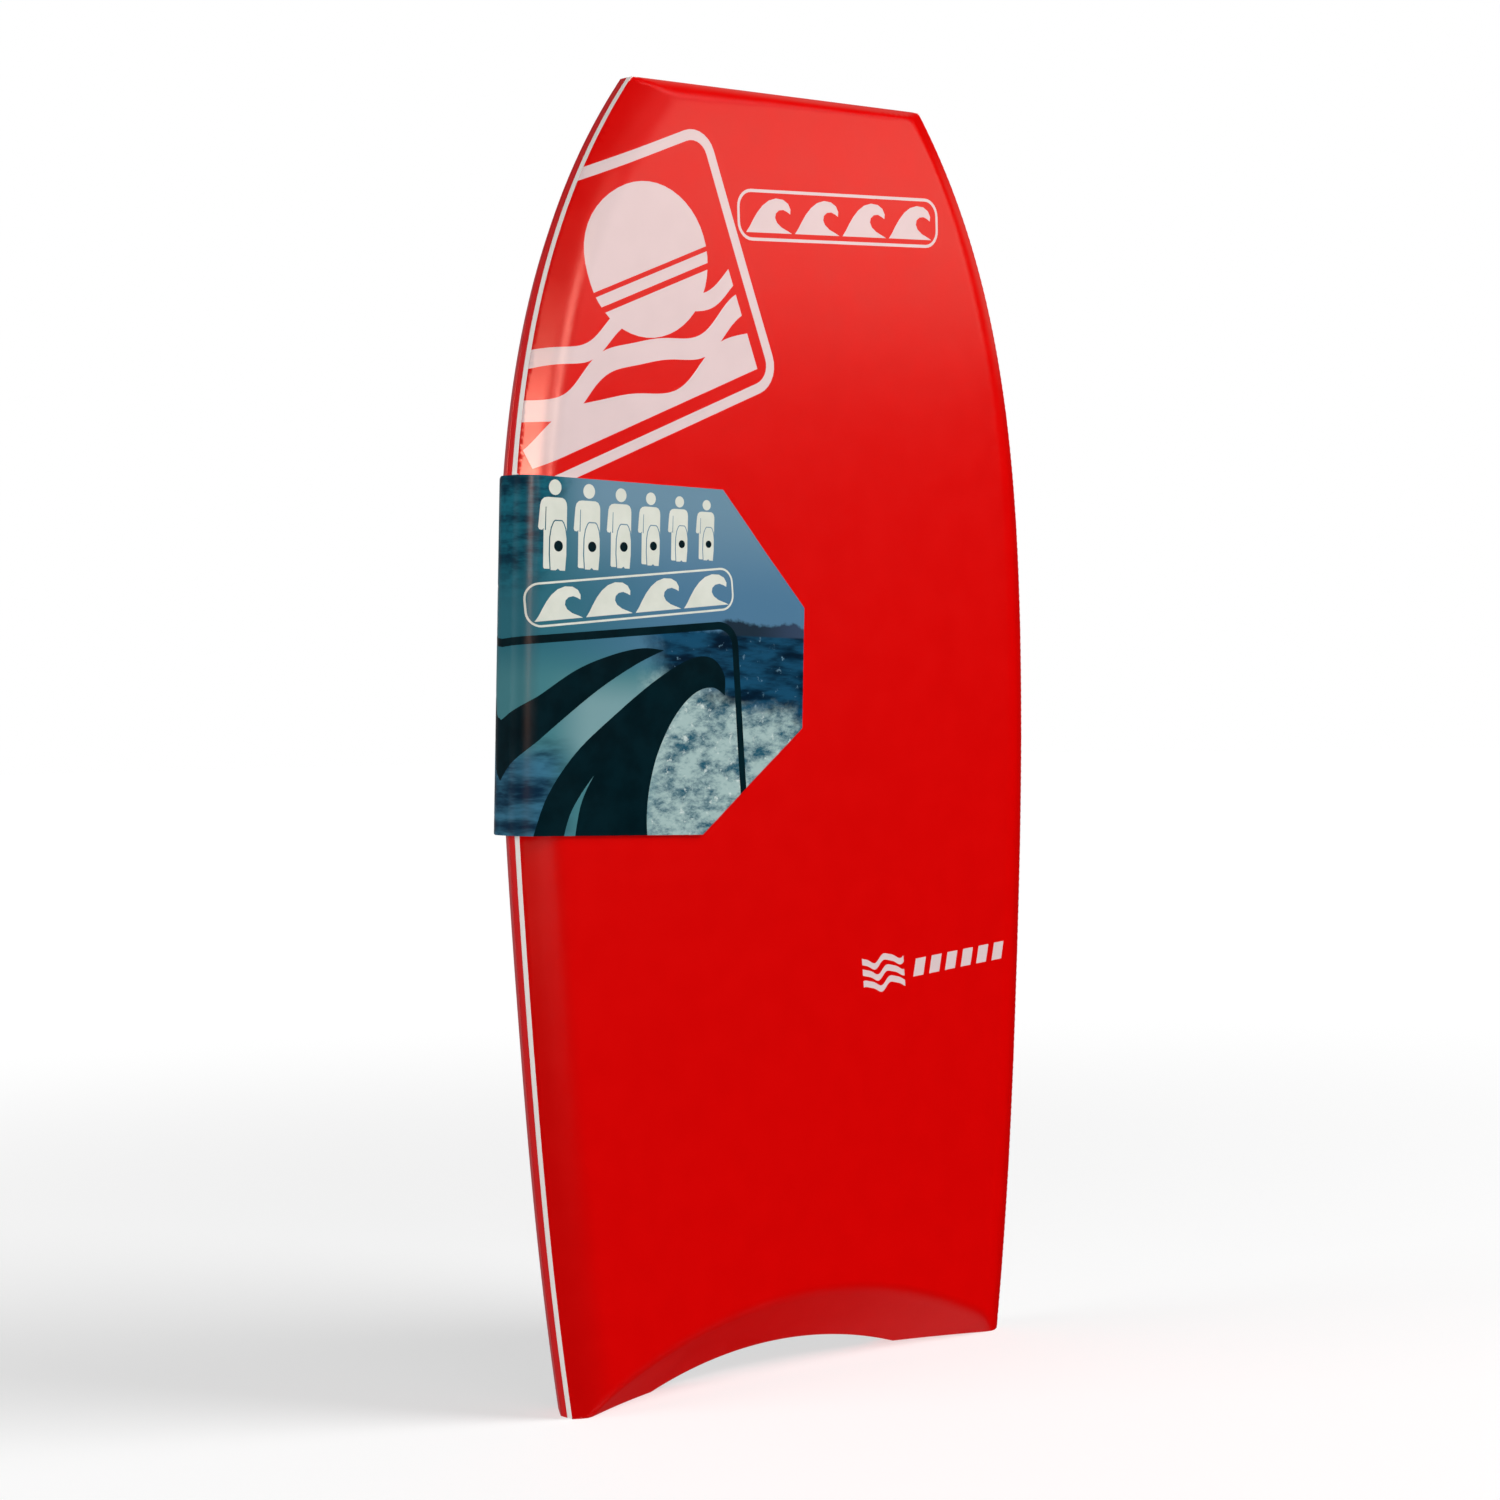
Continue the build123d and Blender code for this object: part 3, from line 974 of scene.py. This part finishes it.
def sleeve_picture():
    """A printed sea: sky over far hills, dark swell and white water, and spray at the fold."""
    n = Nodes("sleeve_picture")
    split = n.add("ShaderNodeSeparateXYZ")
    n.link(n.add("ShaderNodeUVMap", uv_map="sheet").outputs[0], split.inputs[0])
    # x to the right of the fold line on the front flap, and mirrored on the back one
    from_middle = n.product(n.math("SUBTRACT", split.outputs[0], 0.5), SHEET)
    x = n.math("SUBTRACT", n.math("ABSOLUTE", from_middle), SHEET / 2 - SLEEVE_REACH)
    z = n.product(n.math("SUBTRACT", split.outputs[1], 0.5), SLEEVE_HEIGHT)
    join = n.add("ShaderNodeCombineXYZ")
    n.link(x, join.inputs[0])
    n.link(z, join.inputs[1])
    spot = n.scaled(MM, MM, MM, join.outputs[0])

    def turned(angle, stretch):
        """The spot turned by an angle and drawn out along its new x, for streaks."""
        turn, scale = (0, 0, math.radians(angle)), (1 / stretch, 1, 1)
        mapping = n.fill(n.add("ShaderNodeMapping"), Vector=spot, Rotation=turn, Scale=scale)
        return mapping.outputs[0]

    def line(a, b):
        """a x + b z"""
        return n.math("ADD", n.product(x, a), n.product(z, b))

    def wobbled(value, noise, amount):
        return n.math("ADD", value, n.product(n.math("SUBTRACT", noise, 0.5), amount))

    ragged = n.noise(28, 5.0, 0.62, spot)
    fine = n.noise(120, 5.0, 0.65, spot)
    froth = n.noise(70, 6.0, 0.72, turned(-35, 1.8))
    streak = n.noise(60, 4.0, 0.6, turned(12, 4.0))
    fall = n.noise(75, 4.0, 0.65, turned(75, 3.5))

    color = n.mix(n.ramp(x, -10, 190), srgb(44, 104, 118), srgb(78, 120, 150))
    high_sky = n.product(n.ramp(z, 45, 135), n.ramp(x, 15, 80))
    color = n.mix(high_sky, color, srgb(108, 142, 162))
    color = n.mix(n.ramp(z, 14, -22), color, srgb(68, 124, 132))
    glow = n.product(n.ramp(line(0.55, 1.0), -75, -30), n.ramp(z, -5, -40), n.ramp(x, 20, 70))
    color = n.mix(glow, color, srgb(120, 158, 163))

    edge = wobbled(line(1.0, -0.28), ragged, 70)
    spray = n.product(n.ramp(edge, 12, -22), n.ramp(z, 30, 80))
    drops = n.mix(n.ramp(fall, 0.36, 0.66), srgb(4, 44, 62), srgb(24, 102, 120))
    color = n.mix(spray, color, drops)

    shallows = n.product(n.ramp(wobbled(z, streak, 30), -62, -84), n.ramp(x, 60, 20))
    ripples = n.mix(n.ramp(streak, 0.36, 0.64), srgb(10, 40, 62), srgb(58, 112, 138))
    color = n.mix(shallows, color, ripples)

    sea_left = n.ramp(wobbled(line(1.0, 0.45), ragged, 50), 122, 150)
    sea = n.product(sea_left, n.ramp(wobbled(line(-0.02, 1.0), fine, 8), 24, 19))
    swell = n.mix(n.ramp(streak, 0.38, 0.62), srgb(3, 24, 42), srgb(22, 74, 104))
    swell = n.mix(n.ramp(fine, 0.60, 0.74), swell, srgb(110, 150, 172))
    color = n.mix(sea, color, swell)

    ridge = n.ramp(wobbled(line(0.06, 1.0), ragged, 22), 49, 46)
    hills = n.product(n.ramp(x, 196, 206), ridge, n.ramp(z, 21, 23))
    slopes = n.mix(n.ramp(x, 230, 285), srgb(30, 46, 60), srgb(52, 68, 92))
    color = n.mix(hills, color, slopes)

    white_water = n.ramp(wobbled(line(0.24, 1.0), ragged, 60), 32, 6)
    white_water = n.product(white_water, n.ramp(wobbled(x, ragged, 30), 112, 138))
    foam = n.mix(n.ramp(froth, 0.34, 0.60), srgb(34, 84, 104), srgb(165, 190, 188))
    foam = n.mix(n.ramp(fine, 0.58, 0.70), foam, srgb(205, 218, 214))
    color = n.mix(white_water, color, foam)

    crest_spray = n.ramp(wobbled(line(-0.7, 1.0), ragged, 40), -90, -75)
    crest_spray = n.product(crest_spray, sea_left, n.ramp(z, 24, 6), n.ramp(fall, 0.52, 0.66))
    color = n.mix(crest_spray, color, srgb(120, 162, 178))
    n.set(Base_Color=color)
    return coated_card(n, 0.34)


def ink_material(name, dark, light, roughness=0.34):
    n = Nodes(name)
    n.set(Base_Color=n.mix(n.ramp(n.noise(45, 3.0, 0.6), 0.3, 0.7), dark, light))
    return coated_card(n, roughness)


def build_sleeve():
    """The closed card sheet, wrapped round the rail, with its print as faces of their own."""
    shapes = sleeve_shapes()
    plan, triangles, cover = triangulate(sheet_outline(), sheet_points(), [s for s, _ in shapes])
    count = len(plan)
    p, q = plan[:, 0], plan[:, 1]
    faces = closed_faces([(a, c, b) for a, b, c in triangles], count)
    vertices = np.concatenate([sleeve_surface(p, q, CARD), sleeve_surface(p, q, 0.0)])
    piece = new_object("card_sleeve", vertices, faces, "sleeve")
    mesh = piece.data
    for material in (
        sleeve_picture(),
        ink_material("sleeve_white_ink", srgb(214, 217, 205), srgb(222, 224, 213)),
        ink_material("sleeve_dark_ink", srgb(2, 22, 28), srgb(4, 30, 37)),
        ink_material("sleeve_card", srgb(212, 210, 204), srgb(224, 222, 216), 0.6),
    ):
        mesh.materials.append(material)
    kinds = printed(shapes, cover, PICTURE)
    kinds += [PLAIN_CARD] * (len(faces) - len(kinds))
    mesh.polygons.foreach_set("material_index", kinds)

    step = 0.3
    along = sleeve_surface(p + step, q, CARD) - sleeve_surface(p - step, q, CARD)
    up = sleeve_surface(p, q + step, CARD) - sleeve_surface(p, q - step, CARD)
    normals = np.cross(up, along)
    normals /= np.linalg.norm(normals, axis=1)[:, None]
    smooth = [i < 2 * len(triangles) for i in range(len(faces))]
    mesh.polygons.foreach_set("use_smooth", smooth)
    loops, places = [], []
    for i, face in enumerate(faces):
        for v in face:
            sign = 1 if i < len(triangles) else -1
            loops.append(tuple(sign * normals[v % count]) if smooth[i] else (0, 0, 0))
            places += [p[v % count] / SHEET, q[v % count] / SLEEVE_HEIGHT + 0.5]
    mesh.normals_split_custom_set(loops)
    mesh.uv_layers.new(name="sheet").data.foreach_set("uv", places)
    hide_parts("display_sleeve")


build_sleeve()

# --- camera
CAMERA_PLACE = (-1.74582, -2.02049, 0.61563)
# Degrees about x, y and z: it looks 2 degrees down and is rolled by 1 degree
CAMERA_TURN = (88.0303, 1.0317, -40.4039)

lens = bpy.data.cameras.new("camera")
lens.sensor_width = 36
lens.lens = 76.322
camera = linked("camera", lens)
turn = Euler([math.radians(angle) for angle in CAMERA_TURN])
camera.matrix_world = Matrix.LocRotScale(CAMERA_PLACE, turn, None)
bpy.context.scene.camera = camera


# --- floor, light and surroundings
WARM = (1.0, 0.62, 0.48)
PINK = (1.0, 0.50, 0.36)


def build_floor():
    """A pale round floor that fades to white."""
    spokes = 96
    vertices = [(0.0, 0.0, 0.0)]
    for radius in np.geomspace(0.3, 14.0, 26):
        vertices += [(x, y, 0.0) for x, y in disc(0, 0, radius, spokes)]
    faces = [(0, 1 + k, 1 + (k + 1) % spokes) for k in range(spokes)]
    for start in range(1, len(vertices) - spokes, spokes):
        for k in range(spokes):
            a, b = start + k, start + (k + 1) % spokes
            faces.append((a, a + spokes, b + spokes, b))
    mesh = bpy.data.meshes.new("floor")
    mesh.from_pydata(vertices, [], faces)
    floor = linked("floor", mesh)
    n = Nodes("pale_floor")
    radius = n.add("ShaderNodeVectorMath", operation="LENGTH")
    n.link(n.place, radius.inputs[0])
    # It stops catching shadows and glows white by itself between these distances, in metres
    near, far = 0.7, 2.6
    fade = n.ramp(radius.outputs["Value"], near, far)
    n.set(Base_Color=n.mix(fade, (0.45, 0.45, 0.45, 1), (0.0, 0.0, 0.0, 1)), Roughness=0.75)
    n.set(Specular_IOR_Level=0.1, Emission_Color=(1, 1, 1, 1))
    n.set(Emission_Strength=n.ramp(radius.outputs["Value"], near, far, 0.56, 1.0))
    mesh.materials.append(n.material)
    floor.visible_glossy = floor.visible_diffuse = floor.visible_shadow = False


def panel(name, place, target, size, power, color=(1, 1, 1), reflects=False):
    """A soft area light aimed at a point. It lights rough surfaces, or if it reflects, only shows
    in glossy ones."""
    light = bpy.data.lights.new(name, "AREA")
    light.shape = "RECTANGLE"
    light.size, light.size_y = size
    light.energy = power
    light.color = color
    lamp = linked(name, light)
    lamp.location = place
    lamp.rotation_euler = (Vector(place) - Vector(target)).to_track_quat("Z", "Y").to_euler()
    lamp.visible_glossy = reflects
    lamp.visible_diffuse = not reflects
    lamp.visible_camera = False


def reflector(name, x, y, azimuth, low, high, width, radiance, color=WARM):
    """A lit panel between two heights, 1 m from (x, y), for a surface there to mirror."""
    a, middle = math.radians(azimuth), (low + high) / 2
    place = (x + math.cos(a), y + math.sin(a), middle)
    power = math.pi * width * (high - low) * radiance
    panel(name, place, (x, y, middle), (width, high - low), power, color, True)


AMBIENT = 0.85
# Dark screens in the surroundings, where the board's surfaces mirror them, so that a glossy deck
# keeps its colour: azimuth from, to and softness, height from, to and softness, all in degrees,
# and the share of the light that is left
SCREENS = (
    (-168, 25, 12, -90, 80, 8, 0.0),
    (25, 180, 15, -90, 75, 15, 0.2),
)


def build_world():
    """White to the camera, and to everything else even soft light with the screens in it."""
    world = bpy.data.worlds.new("studio")
    scene.world = world
    world.use_nodes = True
    n = Tree(world.node_tree)

    def window(value, low, high, soft):
        """1 between low and high, falling to 0 over the soft distance outside them."""
        return n.product(n.ramp(value, low - soft, low), n.ramp(value, high + soft, high))

    split = n.add("ShaderNodeSeparateXYZ")
    n.link(n.add("ShaderNodeTexCoord").outputs["Generated"], split.inputs[0])
    x, y, z = split.outputs
    azimuth = n.product(n.math("ARCTAN2", y, x), 180 / math.pi)
    height = n.product(n.math("ARCSINE", z), 180 / math.pi)
    total = AMBIENT
    for start, end, soft, low, high, soft_height, left in SCREENS:
        across, up = window(azimuth, start, end, soft), window(height, low, high, soft_height)
        total = n.product(total, n.math("SUBTRACT", 1.0, n.product(across, up, 1 - left)))
    studio = n.fill(n.add("ShaderNodeBackground"), Strength=total)
    white = n.fill(n.add("ShaderNodeBackground"), Color=(1, 1, 1, 1))
    mix = n.add("ShaderNodeMixShader")
    n.link(n.add("ShaderNodeLightPath").outputs["Is Camera Ray"], mix.inputs[0])
    n.link(studio.outputs[0], mix.inputs[1])
    n.link(white.outputs[0], mix.inputs[2])
    n.link(mix.outputs[0], n.add("ShaderNodeOutputWorld").inputs["Surface"])


build_world()
build_floor()
panel("key_light", (2.6, -3.2, 5.0), (0, 0, 0.7), (3.0, 3.0), 310)
panel("right_fill", (2.3, -2.6, 2.4), (0.2, 0, 0.8), (1.4, 1.6), 34)
panel("front_fill", (-1.2, -5.2, 0.6), (0, 0, 0.4), (3.0, 1.0), 112)
panel("floor_bounce", (0.0, -0.25, -1.3), (0, 0, 0), (1.8, 1.0), 15)
panel("side_fill", (-3.0, 1.0, 0.9), (0, 0, 0.5), (1.6, 1.6), 56)
reflector("upper_deck_panel", -0.02, -0.035, -49.6, 0.95, 1.26, 0.95, 2.7)
reflector("chine_panel", -0.262, -0.02, -120, 0.74, 1.0, 0.34, 44.0, PINK)
reflector("right_chine_panel", 0.262, -0.02, 16, 1.0, 1.3, 0.6, 0.3)
panel("nose_rim_panel", (0.7, 0.65, 1.95), (0, 0, 1.05), (0.7, 0.5), 0.45, PINK, True)
reflector("ridge_panel", -0.245, -0.03, -86, 0.80, 1.25, 0.07, 40.0)

scene.view_settings.view_transform = "Standard"
scene.view_settings.look = "None"
